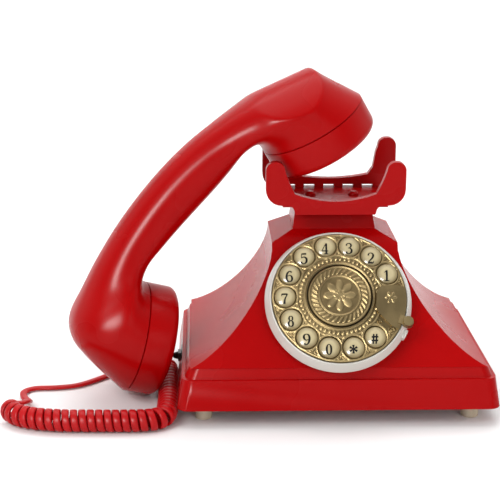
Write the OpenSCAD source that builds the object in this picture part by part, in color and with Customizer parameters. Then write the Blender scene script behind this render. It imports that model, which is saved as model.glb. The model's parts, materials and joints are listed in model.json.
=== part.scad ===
// Desk telephone with a swept pyramid body, a raised cradle, a ring of push keys set out
// like a rotary dial, and an arched handset leaning on the cradle, on a curly cord.
// Millimetres. The origin is on the table, under the middle of the whole part.

/* [Base] */
// Width of the plinth at its foot
base_w = 186; // [176:1:196]
// Depth of the plinth at its foot
base_depth = 140; // [134:1:150]
// Gap between the table and the plinth
foot_h = 10.3; // [8:0.1:12]
// Height of the plinth's top edge
plinth_top = 27.7; // [25:0.1:29]
// How far each plinth side leans in over its height
plinth_draft = 2.7; // [0:0.1:4]
// Radius of the plinth's upright corners
plinth_r = 7; // [4:0.5:10]
// Wall of the mouldings
wall = 2.6; // [2:0.1:3.2]

/* [Body] */
// Half width of the body where it meets the plinth
body_hw = 85.4; // [82:0.1:86]
// Height where the body meets the plinth
body_z = 33.5; // [32:0.1:34]
// Half width of the shoulders
shoulder_hw = 37.2; // [36:0.1:39]
// Height of the shoulders' crease
shoulder_z = 95.6; // [94:0.1:98]
// Lean of the front face from upright
face_tilt = 36; // [33:0.5:38]
// Shape of the sweep: 2 is a round arc, less is straighter
sweep_n = 1.46; // [1.3:0.02:2]

/* [Neck and cradle] */
// Half width of the neck at its foot
neck_hw = 24.6; // [23:0.1:26]
// Height of the neck's foot
neck_z = 101.8; // [100:0.1:103]
// Half width of the cradle
cradle_hw = 41; // [39:0.5:43]
// Thickness of each cradle plate
cradle_t = 5; // [4:0.5:6]
// Height of the trough floor
trough_z = 118.5; // [117:0.5:120]
// Height of the front horns
front_horn_z = 143.7; // [138:0.1:146]
// Height of the rear horns
rear_horn_z = 149.3; // [142:0.1:152]

/* [Dial] */
// Radius of the white bezel's rim
bezel_r = 42.6; // [42:0.1:43]
// Height of that rim over the front face
bezel_h = 5.2; // [4:0.1:6]
// Radius of the gold plate
plate_r = 38.6; // [38:0.1:39]
// Height of the gold plate's edge over the front face
plate_h = 12.6; // [11:0.1:13]
// Rise of the plate from its edge to its middle
plate_dome = 3.4; // [2:0.1:4]
// Radius of the middle disc
medallion_r = 18.3; // [17:0.1:19]

/* [Keys] */
// Radius of the ring of keys
key_ring_r = 31; // [30.5:0.1:31.5]
// Radius of a key
key_r = 6.1; // [5.8:0.1:6.2]
// Angle between keys
key_step = 25.7; // [25.4:0.1:26]
// Angle of the first key from the right
key_start = 26; // [24:0.5:28]
// How far a key goes down
key_travel = 1.5; // [1:0.1:1.6]

/* [Handset] */
// Distance between the centres of the two caps
handset_l = 166; // [160:1:170]
// Radius of the ear and mouth caps
cap_r = 33.2; // [32:0.1:34]
// Height of a cap
cap_h = 18.8; // [17:0.1:20]
// Slope of the handset as it leans
handset_slope = 49; // [48:0.5:50]
// Turn of the handset towards the front
handset_yaw = 12; // [11:0.5:13]

/* [Cord] */
// Outer diameter of the curly part
coil_d = 12.8; // [12:0.1:13.2]
// Diameter of the straight leads
lead_d = 3; // [2.4:0.1:3.4]

/* [Hidden] */
$fn = 64;

// Where the base's middle line and front edge are, from the origin
base_x = 32;
base_y = -68;
eps = 0.01;

// Body outline
front_y = 6.6;
back_y = 138;
shoulder_back_y = 105;
sweep_top = 91.8;
sweep_h = 60;
sweep_foot = 1 - pow(1 - pow((sweep_top - body_z) / sweep_h, sweep_n), 1 / sweep_n);
sweep_steps = 16;
neck_front_y = 60;
neck_back_y = 96;
neck_top_z = 111.6;
neck_lean = 4;
neck_taper = 1.6;

// Cradle plates
front_plate_y = 51.5;
rear_plate_y = 98;
plate_bottom_z = 117.8;
plate_corner_r = 9.5;
horn_in = 28.5;
horn_r = 5;
front_saddle = [120.3, 4.5];
rear_saddle = [124, 2.6];
slot_step = 12;
slot_w = 6.5;
slot_h = 1.7;
tongue_z = 112.4;
floor_hw = 31;
floor_t = 1.8;

// Dial stack, as heights over the front face
dial_y = 29.07;
dial_z = 64.6;
dial_lean = 90 - face_tilt;
bezel_seat = 1.5;
bezel_skirt_r = 40.6;
dial_bore_r = 39.6;
plate_t = 2.2;
key_hole_r = key_r + 0.3;
key_flange_r = 6.7;
plate_rim = 0.6;
board_z = 1.6;
board_t = 1.6;
mat_t = 1.2;
key_foot_z = 7.6;
stop_a = -22;
stop_r = 41.4;
stop_leaf = [[20.3, -6.6], [21.6, -10], [23.8, -12.4], [28.3, -17.1], [32.3, -19.3], [34.6, -17.6],
    [37.1, -8.6], [38, 0], [37.6, 5], [35.4, 6.3], [29.6, 6.4], [24.4, 5.6], [21.6, 3], [20.9, -2],
    [20.3, -6.6]];

// Handset place and cap directions, in its own plane
ear_pos = [-13, 78, 162.4];
ear_cap_a = -108.6;
mouth_cap_a = -64.5;
cap_gap = 0.5;
cap_edge_r = 4.5;
shell_wall = 2.8;
skin_sides = 28;
socket_x = -172;
socket_y = 9;
socket_w = -33;

// Handset outline: outer point x, y, inner point x, y, half width, squareness
skin = [
    [-195.97, -14.3, -136.03, 14.3, 33.2, 2],
    [-194.4, 2, -136.8, 16.8, 32.4, 2.1],
    [-192, 18, -136.6, 19, 31, 2.3],
    [-188.4, 30, -134.5, 21, 28, 2.5],
    [-180, 37.6, -130, 22.6, 24, 2.4],
    [-164, 42.2, -122, 23.8, 20, 2.3],
    [-143, 47.2, -111, 23.4, 17.6, 2.4],
    [-116, 51.2, -98, 22.8, 16.6, 2.4],
    [-87, 52.4, -83, 22, 16.2, 2.4],
    [-60, 50.4, -67, 21.3, 16.6, 2.4],
    [-36, 45.6, -53.5, 21.5, 18.2, 2.3],
    [-12, 39.4, -42.5, 23, 22, 2.3],
    [8, 34.8, -34.4, 22, 27, 2.45],
    [21.8, 27.4, -30.8, 18.8, 30.2, 2.4],
    [26.2, 11, -30.4, 14.2, 32, 2.05],
    [31.47, -10.59, -31.47, 10.59, 33.2, 2]];
skin_steps = 2;

// The handle's barrel, which trims the ear bell: a point on it, its slope and the radius of its back
vault_at = [21.6, 23.6];
vault_slope = -26.4;
vault_crown = 31;
vault_from = -50;

// Sockets and plugs
jack_y = 66;
jack_z = 20.5;
jack_w = 7.8;
jack_h = 5.6;
line_x = 40;

// Cord routes, from the base's own corner mark
coil_z = coil_d / 2 + 0.15;
coil_route = [[-183.5, 25], [-187.5, 22], [-189, 15], [-185, 7.5], [-175, 1.5], [-160, -2], [-142, -3],
    [-125, -3.5], [-111, -3], [-104, -0.5], [-99.6, 6], [-98.4, 24], [-98.4, 48], [-98.8, 70],
    [-101, 92]];
handset_lead_route = [[-137.95, 90.35, 38.5], [-139.2, 96.4, 38], [-139.6, 104, 33.5],
    [-137, 111, 23], [-131, 114.5, 12], [-124, 115, 5], [-116, 113, 2.4], [-108, 107, 3.6],
    [-103, 100, 5.6], [-101, 92, coil_z]];
base_lead_route = [[-183.5, 25, coil_z], [-181, 29, 6], [-181, 36, 3], [-185, 46, 1.6],
    [-186, 55, 1.6], [-180, 61, 1.6], [-168, 62, 1.6], [-154, 66, 1.6], [-140, 79, 1.6],
    [-128, 92, 2], [-114, 97, 6], [-105, 91, 13], [-102.2, 82, 17.8], [-101.2, 73.6, 20.2],
    [-99.4, 67.6, 20.5], [-96.05, 66, 20.5]];

function sweep(z, top, h, n) =
    let (t = min(1, max(0, (top - z) / h))) 1 - pow(1 - pow(t, n), 1 / n);
function swept(z) = sweep(z, sweep_top, sweep_h, sweep_n) / sweep_foot;
function body_half(z, inset) = shoulder_hw - inset + (body_hw - shoulder_hw) * swept(z);
function body_back(z, inset) = shoulder_back_y - inset + (back_y - shoulder_back_y) * swept(z);
function face_at(z) = front_y + (z - body_z) * tan(face_tilt);
function sweep_zs() = [for (i = [0 : sweep_steps])
    body_z + (sweep_top - body_z) * pow(i / sweep_steps, 1.3)];

function front_outline(inset) = let (zs = sweep_zs()) concat(
    [for (z = zs) [body_half(z, inset), z - (z == body_z ? eps : 0)]],
    [[shoulder_hw - inset, shoulder_z - inset / 2], [neck_hw - inset / 2, neck_z - inset / 2],
     [inset / 2 - neck_hw, neck_z - inset / 2], [inset - shoulder_hw, shoulder_z - inset / 2]],
    [for (i = [sweep_steps : -1 : 0]) [-body_half(zs[i], inset), zs[i] - (i == 0 ? eps : 0)]]);

function side_outline(inset) = let (zs = sweep_zs(), lean = inset / cos(face_tilt)) concat(
    [[front_y + lean, body_z - eps], [face_at(shoulder_z) + lean, shoulder_z - inset / 2],
     [neck_front_y + inset, neck_z - inset / 2], [neck_back_y - inset, neck_z - inset / 2],
     [shoulder_back_y - inset - 2, shoulder_z - inset / 2]],
    [for (i = [sweep_steps : -1 : 0]) [body_back(zs[i], inset), zs[i] - (i == 0 ? eps : 0)]]);

function curve(p, i, t) =
    let (a = p[max(0, i - 1)], b = p[i], c = p[i + 1], d = p[min(len(p) - 1, i + 2)])
    0.5 * (2 * b + (c - a) * t + (2 * a - 5 * b + 4 * c - d) * t * t
        + (3 * b - a - 3 * c + d) * t * t * t);
function smooth(p, steps) = concat(
    [for (i = [0 : len(p) - 2]) for (k = [0 : steps - 1]) curve(p, i, k / steps)], [p[len(p) - 1]]);
function sgnpow(v, e) = sign(v) * pow(abs(v), e);
function section(s, inset, sides) =
    let (mx = (s[0] + s[2]) / 2, my = (s[1] + s[3]) / 2, hx = (s[0] - s[2]) / 2,
         hy = (s[1] - s[3]) / 2, h = norm([hx, hy]), k = (h - inset) / h)
    [for (i = [0 : sides - 1]) let (a = 360 * i / sides, c = sgnpow(cos(a), 2 / s[5]),
        d = sgnpow(sin(a), 2 / s[5])) [mx + hx * k * c, my + hy * k * c, (s[4] - inset) * d]];
function pressed(p, deep) =
    let (n = [-sin(vault_slope), cos(vault_slope), 0],
         over = (p - [vault_at[0], vault_at[1], 0]) * n + deep + p[2] * p[2] / (2 * vault_crown))
    p - n * (over + sqrt(over * over + 0.3)) / 2;
function ring(s, inset) = let (points = section(s, inset, skin_sides))
    s[0] > vault_from ? [for (p = points) pressed(p, inset)] : points;
function flat(list) = [for (a = list) for (b = a) b];

// Parts of the base are drawn from the middle of the plinth's front edge, on the table
module at_base() {
    translate([base_x, base_y, 0]) children();
}

// The dial's own plane: origin on the front face, Z out of it
module at_dial() {
    at_base() translate([0, dial_y, dial_z]) rotate([dial_lean, 0, 0]) children();
}

// The handset's own plane: origin at the ear cap, X towards it from the mouth cap, Y outwards
module at_handset() {
    at_base() translate(ear_pos) rotate([0, 0, handset_yaw]) rotate([90, 0, 0])
        rotate([0, 0, handset_slope]) children();
}

// Z along a cap's own axis
module at_ear() {
    at_handset() rotate([0, 0, ear_cap_a]) rotate([0, 90, 0]) children();
}
module at_mouth() {
    at_handset() translate([-handset_l, 0, 0]) rotate([0, 0, mouth_cap_a]) rotate([0, 90, 0])
        children();
}

// Outline drawn in x and z, made solid from y0 to y0 + t
module upright(y0, t) {
    translate([0, y0 + t, 0]) rotate([90, 0, 0]) linear_extrude(t) children();
}

// Outline drawn in y and z, made solid from -w to w
module across(w) {
    rotate([90, 0, 90]) translate([0, 0, -w]) linear_extrude(2 * w) children();
}

module body_solid(inset) {
    intersection() {
        upright(-5, 160) polygon(front_outline(inset));
        across(100) polygon(side_outline(inset));
    }
}

module upper_housing() {
    color("firebrick") difference() {
        at_base() body_solid(0);
        at_base() body_solid(wall);
        at_base() translate([-body_hw + wall, front_y + wall * 2, body_z - 1])
            cube([2 * (body_hw - wall), back_y - front_y - 3 * wall, 2]);
        at_base() translate([-20, neck_front_y + 4, neck_z - 8]) cube([40, 28, 12]);
        at_dial() translate([0, 0, -20]) cylinder(h = 40, r = dial_bore_r + 0.2);
        at_dial() translate([0, 0, -bezel_seat]) cylinder(h = 20, r = bezel_skirt_r + 0.1);
    }
}

// Rounded block that leans in by lean on every side
module skirt(w, d, y0, z0, h, r, lean) {
    hull() for (x = [-1, 1]) for (y = [0, 1])
        translate([x * (w / 2 - r), y0 + r + y * (d - 2 * r), z0]) {
            cylinder(h = eps, r = r, $fn = 32);
            translate([-x * lean, (1 - 2 * y) * lean, h - eps]) cylinder(h = eps, r = r, $fn = 32);
        }
}

module plinth() {
    ledge_w = base_w - 2 * plinth_draft - 4;
    ledge_d = base_depth - 2 * plinth_draft - 4;
    color("red") difference() {
        at_base() union() {
            skirt(base_w, base_depth, 0, foot_h, plinth_top - foot_h, plinth_r, plinth_draft);
            skirt(ledge_w, ledge_d, plinth_draft + 2, plinth_top - eps, body_z - plinth_top - 0.1,
                plinth_r - 1, 2.2);
        }
        at_base() skirt(base_w - 2 * wall, base_depth - 2 * wall, wall, foot_h - 1,
            plinth_top - wall - foot_h + 1, plinth_r - wall, plinth_draft);
        at_base() translate([-78, 22, plinth_top - wall - 1]) cube([156, 96, 12]);
        at_dial() translate([0, 0, -12]) cylinder(h = 30, r = bezel_skirt_r + 0.1);
        at_base() translate([-base_w / 2 - 1, jack_y - 6.1, jack_z - 5.1]) cube([16, 12.2, 10.2]);
        at_base() translate([line_x - 6.1, base_depth - 15, jack_z - 5.1]) cube([12.2, 16, 10.2]);
    }
    color("red") at_base() for (p = screw_spots()) translate([p[0], p[1], foot_h + 2.5])
        difference() {
            cylinder(h = plinth_top - wall - foot_h - 2.4, r = 4);
            translate([0, 0, -1]) cylinder(h = 8, r = 1.6);
        }
}

module base_plate() {
    color("maroon") difference() {
        at_base() skirt(base_w - 2 * wall - 1, base_depth - 2 * wall - 1, wall + 0.5, foot_h, 2.4,
            plinth_r - wall - 0.5, 0.4);
        at_base() for (p = screw_spots()) translate([p[0], p[1], foot_h - 1])
            cylinder(h = 5, r = 1.7);
        at_base() translate([-30, 60, foot_h - 1]) for (x = [0 : 6]) translate([x * 10, 0, 0])
            cube([3, 24, 5]);
    }
    color("maroon") at_base() for (x = [-18, 66]) for (y = [30, 92])
        translate([x, y, foot_h + 2.3]) cylinder(h = 4.2, r = 3);
}

function foot_spots() = [for (x = [-77.8, 77.8]) for (y = [17, base_depth - 17]) [x, y]];
function screw_spots() = [for (x = [-66, 66]) for (y = [16, base_depth - 16]) [x, y]];

module rubber_feet() {
    color("tan") at_base() for (p = foot_spots()) translate([p[0], p[1], 0])
        cylinder(h = foot_h, r1 = 5, r2 = 5.5);
}

module base_screws() {
    color("silver") at_base() for (p = screw_spots()) translate([p[0], p[1], foot_h - 2]) {
        cylinder(h = 2, r = 2.8);
        cylinder(h = 10, r = 1.4);
    }
}

module ballast_plate() {
    color("dimgray") at_base() translate([-74, 66, foot_h + 2.5]) cube([40, 50, 9]);
}

module main_board() {
    color("darkgreen") at_base() translate([-24, 24, foot_h + 6.5]) cube([96, 74, 1.6]);
    color("black") at_base() for (x = [-8, 14, 40]) translate([x, 50, foot_h + 8.1])
        cube([14, 18, 3]);
}

module ringer() {
    color("goldenrod") at_base() translate([-58, 40, foot_h + 2.5]) difference() {
        cylinder(h = 9, r = 15);
        translate([0, 0, 6]) cylinder(h = 4, r = 3);
    }
}

// Modular socket: a block with a square mouth, Z out of the mouth
module socket_block(w, h, deep) {
    translate([-w / 2, -h / 2, -deep]) difference() {
        cube([w, h, deep]);
        translate([(w - jack_w) / 2, (h - jack_h) / 2, 2]) cube([jack_w, jack_h, deep]);
    }
}

module cord_socket() {
    color("black") at_base() translate([-base_w / 2 + 1.9, jack_y, jack_z]) rotate([90, 0, -90])
        socket_block(12, 10, 12);
}

module line_socket() {
    color("black") at_base() translate([line_x, base_depth - 1.9, jack_z]) rotate([90, 0, 180])
        socket_block(12, 10, 12);
}

// One side of a cradle plate's outline, from the saddle's middle to the underside
function plate_side(saddle, top_z) = concat(
    [for (i = [0 : 5]) let (t = i / 5) [t * 24, saddle[0] + saddle[1] * t * t]],
    [[27, 131], [horn_in, top_z - 9]],
    [for (a = [180 : -15 : 90]) [horn_in + 1.3 + horn_r + horn_r * cos(a), top_z - horn_r
        + horn_r * sin(a)]],
    [for (a = [90 : -15 : 0]) [cradle_hw - horn_r + horn_r * cos(a), top_z - horn_r
        + horn_r * sin(a)]],
    [for (a = [0 : -15 : -90]) [cradle_hw - plate_corner_r + plate_corner_r * cos(a),
        plate_bottom_z + plate_corner_r + plate_corner_r * sin(a)]],
    [for (a = [90 : 15 : 180]) [neck_hw + 3.4 + 4 * cos(a), plate_bottom_z - 4 + 4 * sin(a)]],
    [[neck_hw - 1.2, tongue_z]]);

module cradle_plate(y0, saddle, top_z) {
    half = plate_side(saddle, top_z);
    upright(y0, cradle_t) polygon(concat(half,
        [for (i = [len(half) - 1 : -1 : 1]) [-half[i][0], half[i][1]]]));
}

module neck_solid(inset) {
    intersection() {
        upright(40, 80) polygon([[-neck_hw + inset, neck_z + eps], [neck_hw - inset, neck_z + eps],
            [neck_hw - neck_taper - inset, neck_top_z], [neck_hw - neck_taper - inset, trough_z - 2],
            [neck_taper - neck_hw + inset, trough_z - 2], [neck_taper - neck_hw + inset, neck_top_z]]);
        across(60) polygon([[neck_front_y + inset, neck_z + eps],
            [neck_front_y + neck_lean + inset, neck_top_z],
            [neck_front_y + neck_lean + inset, trough_z - 2], [neck_back_y - 2 - inset, trough_z - 2],
            [neck_back_y - 2 - inset, neck_top_z], [neck_back_y - inset, neck_z + eps]]);
    }
}

module cradle() {
    color("crimson") difference() {
        at_base() union() {
            cradle_plate(front_plate_y, front_saddle, front_horn_z);
            cradle_plate(rear_plate_y, rear_saddle, rear_horn_z);
            translate([-floor_hw, front_plate_y + 1, trough_z - floor_t])
                cube([2 * floor_hw, rear_plate_y - front_plate_y + 2, floor_t]);
            neck_solid(0);
            translate([-neck_hw + neck_taper, front_plate_y + 1, tongue_z + 0.4])
                cube([2 * (neck_hw - neck_taper), rear_plate_y - front_plate_y + 2,
                    trough_z - tongue_z - 0.4]);
        }
        at_base() translate([0, 0, -2.6]) neck_solid(wall);
        at_base() for (x = [-13, 13]) translate([x, 76.5, neck_z]) cylinder(h = 30, r = 3.3);
        at_base() for (i = [-2 : 2]) translate([i * slot_step - slot_w / 2, rear_plate_y - 1, trough_z])
            cube([slot_w, cradle_t + 2, slot_h]);
        at_ear() translate([0, 0, -30]) cylinder(h = 30 + cap_h + 0.4, r = cap_r + 0.4);
    }
}

module hook_prongs() {
    color("red") at_base() union() {
        for (x = [-13, 13]) translate([x, 76.5, 0]) {
            translate([0, 0, 107]) cylinder(h = trough_z + 1.3 - 107, r = 3);
            translate([0, 0, trough_z + 1.3]) cylinder(h = 1.2, r1 = 3, r2 = 1.8);
        }
        translate([-17, 72.5, 104.5]) cube([34, 8, 3]);
    }
}

module hook_spring() {
    color("silver") at_base() translate([0, 76.5, 95]) difference() {
        cylinder(h = 9.4, r = 3.4);
        translate([0, 0, -1]) cylinder(h = 12, r = 2.5);
    }
}

module hook_switch() {
    color("black") at_base() translate([-12, 70, 86]) cube([24, 13, 8.9]);
}

module dial_bezel() {
    color("white") at_dial() {
        rotate_extrude() polygon([[dial_bore_r, -bezel_seat], [bezel_skirt_r, -bezel_seat],
            [bezel_skirt_r, bezel_h - 1.8], [bezel_r - 0.4, bezel_h - 1], [bezel_r, bezel_h],
            [plate_r + 1.2, plate_h - 0.4], [plate_r + 0.3, plate_h - 0.4],
            [plate_r + 0.3, plate_h - 3.25], [plate_r - plate_rim, plate_h - 3.25],
            [plate_r - plate_rim, plate_h - 5.6], [dial_bore_r - 0.8, plate_h - 6.6],
            [dial_bore_r - 0.8, -6], [dial_bore_r, -6]], convexity = 4);
        rotate([0, 0, stop_a - 7]) translate([bezel_r - 3.6, -2.8, bezel_h - 2]) cube([4.6, 5.6, 5]);
    }
}

function dome_z(r) = plate_h + plate_dome * (1 - pow(r / plate_r, 2));

module dial_plate() {
    rs = [for (i = [0 : 8]) medallion_r + 0.6 + (plate_r - medallion_r - 0.6) * i / 8];
    color("goldenrod") at_dial() difference() {
        rotate_extrude() polygon(concat([for (r = rs) [r, dome_z(r)]],
            [[plate_r, plate_h - 3.2], [plate_r - plate_rim, plate_h - 3.2],
             [plate_r - plate_rim, plate_h - plate_t]],
            [for (i = [7 : -1 : 0]) [rs[i], dome_z(rs[i]) - plate_t]],
            [[14, dome_z(14) - plate_t - 1.6], [14, dome_z(14) - plate_t],
             [medallion_r + 0.6, dome_z(14) - plate_t]]));
        for (i = [0 : 11]) at_key(i) translate([0, 0, 5]) cylinder(h = 12, r = key_hole_r);
        rotate([0, 0, stop_a]) translate([34, 0, 5]) cylinder(h = 12, r = 1.6);
    }
}

module at_key(i) {
    rotate([0, 0, key_start + i * key_step]) translate([key_ring_r, 0, 0]) children();
}

module medallion() {
    color("gold") at_dial() translate([0, 0, dome_z(14) - plate_t + 0.02])
        rotate_extrude() polygon(concat([[0, 0], [medallion_r, 0], [medallion_r, plate_t - 0.4]],
            [for (i = [5 : -1 : 0]) let (r = medallion_r * i / 5)
                [r * 0.97, plate_t + 0.9 * (1 - pow(r / medallion_r, 2))]]));
}

// Leaf between the last key and the first, lying on the domed plate, with a boss at its tip
module finger_stop() {
    rs = [for (i = [0 : 6]) 18.5 + 3.3 * i];
    color("goldenrod") at_dial() {
        intersection() {
            rotate_extrude() polygon(concat([for (r = rs) [r, dome_z(r) + 0.05]],
                [for (i = [6 : -1 : 0]) [rs[i], dome_z(rs[i]) + 1.4]]));
            linear_extrude(30) polygon(smooth(stop_leaf, 3));
        }
        rotate([0, 0, stop_a]) {
            translate([36, -2.6, dome_z(34) + 0.1]) cube([5, 5.2, 1.3]);
            translate([stop_r, 0, plate_h + 0.15]) cylinder(h = 3.6, r1 = 3.4, r2 = 2.9);
            translate([34, 0, 8]) cylinder(h = dome_z(34) - 7.5, r = 1.2);
        }
    }
}

module keypad_mat() {
    color("gray") at_dial() translate([0, 0, board_z + board_t]) union() {
        difference() {
            cylinder(h = mat_t, r = 37);
            translate([0, 0, -1]) cylinder(h = 4, r = 16);
        }
        for (i = [0 : 11]) at_key(i) cylinder(h = key_foot_z - key_travel - board_z - board_t - 0.2,
            r1 = 4.6, r2 = 2.6);
    }
}

module keypad_board() {
    color("darkgreen") at_dial() translate([0, 0, board_z]) cylinder(h = board_t - 0.02, r = 37.4);
}

module dial_frame() {
    color("black") at_dial() difference() {
        translate([0, 0, -9]) cylinder(h = board_z + 9 - 0.02, r = 38.4);
        translate([0, 0, -6.6]) cylinder(h = 12, r = 35.4);
        translate([20, 0, -12]) cylinder(h = 12, r = 5);
        for (a = [45 : 90 : 315]) rotate([0, 0, a]) translate([36.6, 0, -12]) cylinder(h = 20, r = 0.9);
    }
}

module dial_screws() {
    color("silver") at_dial() for (a = [45 : 90 : 315]) rotate([0, 0, a])
        translate([36.6, 0, -10.6]) {
            cylinder(h = 1.6, r = 1.7);
            cylinder(h = 11, r = 0.8);
        }
}

module key(i) {
    top = dome_z(key_ring_r);
    color("wheat") at_dial() at_key(i) rotate_extrude() polygon(concat(
        [[0, key_foot_z], [3, key_foot_z], [key_flange_r, top - plate_t - 2.1],
         [key_flange_r, top - plate_t - 1.25], [key_r, top - plate_t - 1.25], [key_r, top - 0.1]],
        [for (i = [4 : -1 : 0]) let (r = key_r * i / 4.6) [r, top + 1.9 - 1.5 * pow(r / key_r, 2)]]));
}

module handset_shell() {
    rings = smooth(skin, skin_steps);
    count = len(rings);
    pts = concat(flat([for (s = rings) ring(s, 0)]), flat([for (s = rings) ring(s, shell_wall)]));
    n = skin_sides;
    half = count * n;
    skin_faces = [for (r = [0 : count - 2]) for (i = [0 : n - 1]) let (j = (i + 1) % n)
        each [[r * n + i, r * n + j, (r + 1) * n + j], [r * n + i, (r + 1) * n + j, (r + 1) * n + i],
              [half + r * n + i, half + (r + 1) * n + j, half + r * n + j],
              [half + r * n + i, half + (r + 1) * n + i, half + (r + 1) * n + j]]];
    end = (count - 1) * n;
    rims = [for (i = [0 : n - 1]) let (j = (i + 1) % n)
        each [[i, half + j, j], [i, half + i, half + j],
              [end + i, end + j, half + end + j], [end + i, half + end + j, half + end + i]]];
    color("red") difference() {
        at_handset() polyhedron(pts, concat(skin_faces, rims), convexity = 8);
        at_handset() translate([socket_x, socket_y, socket_w]) rotate([0, 180, 0])
            translate([-5.6, -4.6, -12]) cube([11.2, 9.2, 24]);
    }
}

// Screw-on cap: a cup with a rounded edge and a thin collar that goes into the shell
module cap() {
    arc = [for (a = [0 : 15 : 90]) [cap_r - cap_edge_r + cap_edge_r * cos(a),
        cap_h - cap_edge_r + cap_edge_r * sin(a)]];
    rotate_extrude() polygon(concat([[cap_r - 1.2, cap_gap], [cap_r, cap_gap + 0.8]], arc,
        [[12, cap_h - 0.5], [0, cap_h - 0.5], [0, cap_h - 3], [25.4, cap_h - 3], [26.8, cap_h - 6],
         [26.8, -3], [28, -3], [28, cap_gap]]));
}

module ear_cap() {
    color("firebrick") at_ear() difference() {
        cap();
        for (r = [0, 5, 10]) for (a = [0 : r == 0 ? 360 : 300 / r : 359]) rotate([0, 0, a])
            translate([r, 0, 10]) cylinder(h = 20, r = 1.1, $fn = 16);
    }
}

module mouth_cap() {
    color("firebrick") at_mouth() difference() {
        cap();
        for (r = [0, 5, 10]) for (a = [0 : r == 0 ? 360 : 300 / r : 359]) rotate([0, 0, a])
            translate([r, 0, 10]) cylinder(h = 20, r = 1.1, $fn = 16);
    }
}

module receiver() {
    color("dimgray") at_ear() translate([0, 0, 5]) rotate_extrude()
        polygon([[0, 0], [18, 0], [24, 3], [24, 9], [20, 10.4], [0, 10.4]]);
}

module receiver_clamp() {
    color("gray") at_ear() translate([0, 0, 1]) difference() {
        cylinder(h = 3.9, r = 26.4);
        translate([0, 0, -1]) cylinder(h = 8, r = 15);
    }
}

module microphone() {
    color("dimgray") at_mouth() translate([0, 0, 8]) cylinder(h = 7.4, r = 6);
}

module microphone_holder() {
    color("gray") at_mouth() translate([0, 0, 6]) difference() {
        cylinder(h = 9.4, r = 11);
        translate([0, 0, 1.9]) cylinder(h = 9, r = 6.1);
    }
}

module handset_weight() {
    color("silver") at_handset() translate([-112, 33, -8]) cube([56, 10, 16]);
}

module handset_socket() {
    color("black") at_handset() translate([socket_x, socket_y, socket_w]) rotate([0, 180, 0])
        socket_block(11, 9, 11);
}

// Modular plug: Z out of its socket
module plug(deep) {
    translate([-3.8, -2.7, -deep]) cube([7.6, 5.4, deep + 2]);
    translate([0, 0, 1.9]) cylinder(h = 3, r1 = 2.4, r2 = 1.6);
}

module handset_plug() {
    color("black") at_handset() translate([socket_x, socket_y, socket_w]) rotate([0, 180, 0])
        plug(8.5);
}

module base_plug() {
    color("black") at_base() translate([-base_w / 2 + 1.9, jack_y, jack_z]) rotate([90, 0, -90])
        plug(9.5);
}

// Tube along a route, sides seen square to it
module tube(route, d, sides) {
    count = len(route);
    dirs = [for (i = [0 : count - 1])
        let (a = route[max(0, i - 1)], b = route[min(count - 1, i + 1)]) (b - a) / norm(b - a)];
    pts = flat([for (i = [0 : count - 1])
        let (u = dirs[i], s = cross([0, 0, 1], u) / norm(cross([0, 0, 1], u)), v = cross(u, s))
        [for (k = [0 : sides - 1]) let (a = 360 * (k + 0.5) / sides)
            route[i] + d / 2 * (s * cos(a) + v * sin(a))]]);
    walls = [for (r = [0 : count - 2]) for (k = [0 : sides - 1]) let (j = (k + 1) % sides)
        each [[r * sides + k, (r + 1) * sides + j, r * sides + j],
              [r * sides + k, (r + 1) * sides + k, (r + 1) * sides + j]]];
    ends = [[for (k = [0 : sides - 1]) k],
        [for (k = [sides - 1 : -1 : 0]) (count - 1) * sides + k]];
    polyhedron(pts, concat(walls, ends), convexity = 8);
}

module curly_cord() {
    color("crimson") at_base() tube([for (p = smooth(coil_route, 2)) [p[0], p[1], coil_z]], coil_d, 12);
}

module handset_lead() {
    color("crimson") at_base() tube(smooth(handset_lead_route, 2), lead_d, 8);
}

module base_lead() {
    color("crimson") at_base() tube(smooth(base_lead_route, 2), lead_d, 8);
}

upper_housing();
plinth();
base_plate();
rubber_feet();
base_screws();
ballast_plate();
main_board();
ringer();
cord_socket();
line_socket();
cradle();
hook_prongs();
hook_spring();
hook_switch();
dial_bezel();
dial_plate();
medallion();
finger_stop();
keypad_mat();
keypad_board();
dial_frame();
dial_screws();
key(0);  // key_1
key(1);  // key_2
key(2);  // key_3
key(3);  // key_4
key(4);  // key_5
key(5);  // key_6
key(6);  // key_7
key(7);  // key_8
key(8);  // key_9
key(9);  // key_0
key(10);  // key_star
key(11);  // key_hash
handset_shell();
ear_cap();
mouth_cap();
receiver();
receiver_clamp();
microphone();
microphone_holder();
handset_weight();
handset_socket();
handset_plug();
handset_lead();
curly_cord();
base_lead();
base_plug();
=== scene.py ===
"""Looks of a desk telephone whose handset leans on its cradle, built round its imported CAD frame."""
import json
import math

import bmesh
import bpy
import numpy as np
from mathutils import Matrix, Vector


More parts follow.
